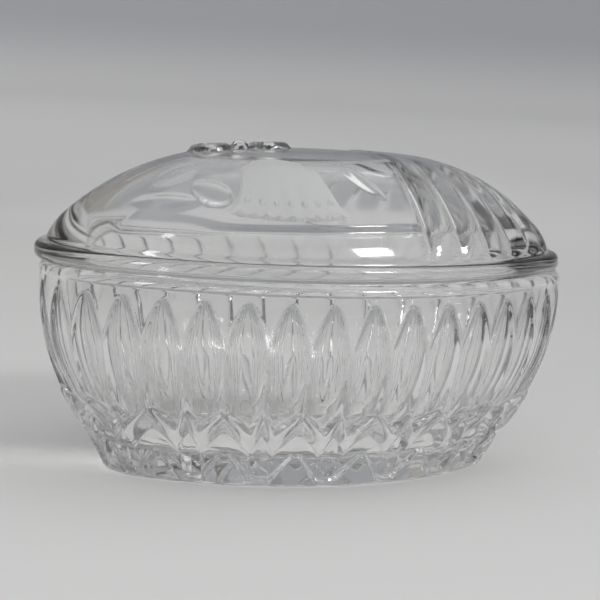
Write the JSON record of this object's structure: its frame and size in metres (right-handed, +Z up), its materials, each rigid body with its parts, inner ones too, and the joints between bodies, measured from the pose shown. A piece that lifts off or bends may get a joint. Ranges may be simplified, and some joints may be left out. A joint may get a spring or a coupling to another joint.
{
  "type": "powder jar",
  "caption": "Oval pressed clear-glass covered jar: fluted bowl with a zigzag band near its foot and a loose domed lid with ribs, a bell relief and a bow.",
  "frame": {"origin": "centre of the underside, on the surface the jar stands on", "axes": "+X along the long axis of the oval, +Z up, -Y towards the side with the bell relief"},
  "size_m": [0.1255, 0.0848, 0.0751],
  "materials": {
    "clear_glass": "clear pressed glass, fire polished",
    "frosted_glass": "satin acid-frosted glass"
  },
  "bodies": {
    "bowl": {"jar_bowl": "clear_glass"},
    "lid": {"lid": "clear_glass"}
  },
  "joints": [
    {"name": "lid_lift", "type": "slide", "parent": "bowl", "child": "lid", "axis": [0, 0, 1], "range_m": [0, 0.08]}
  ]
}
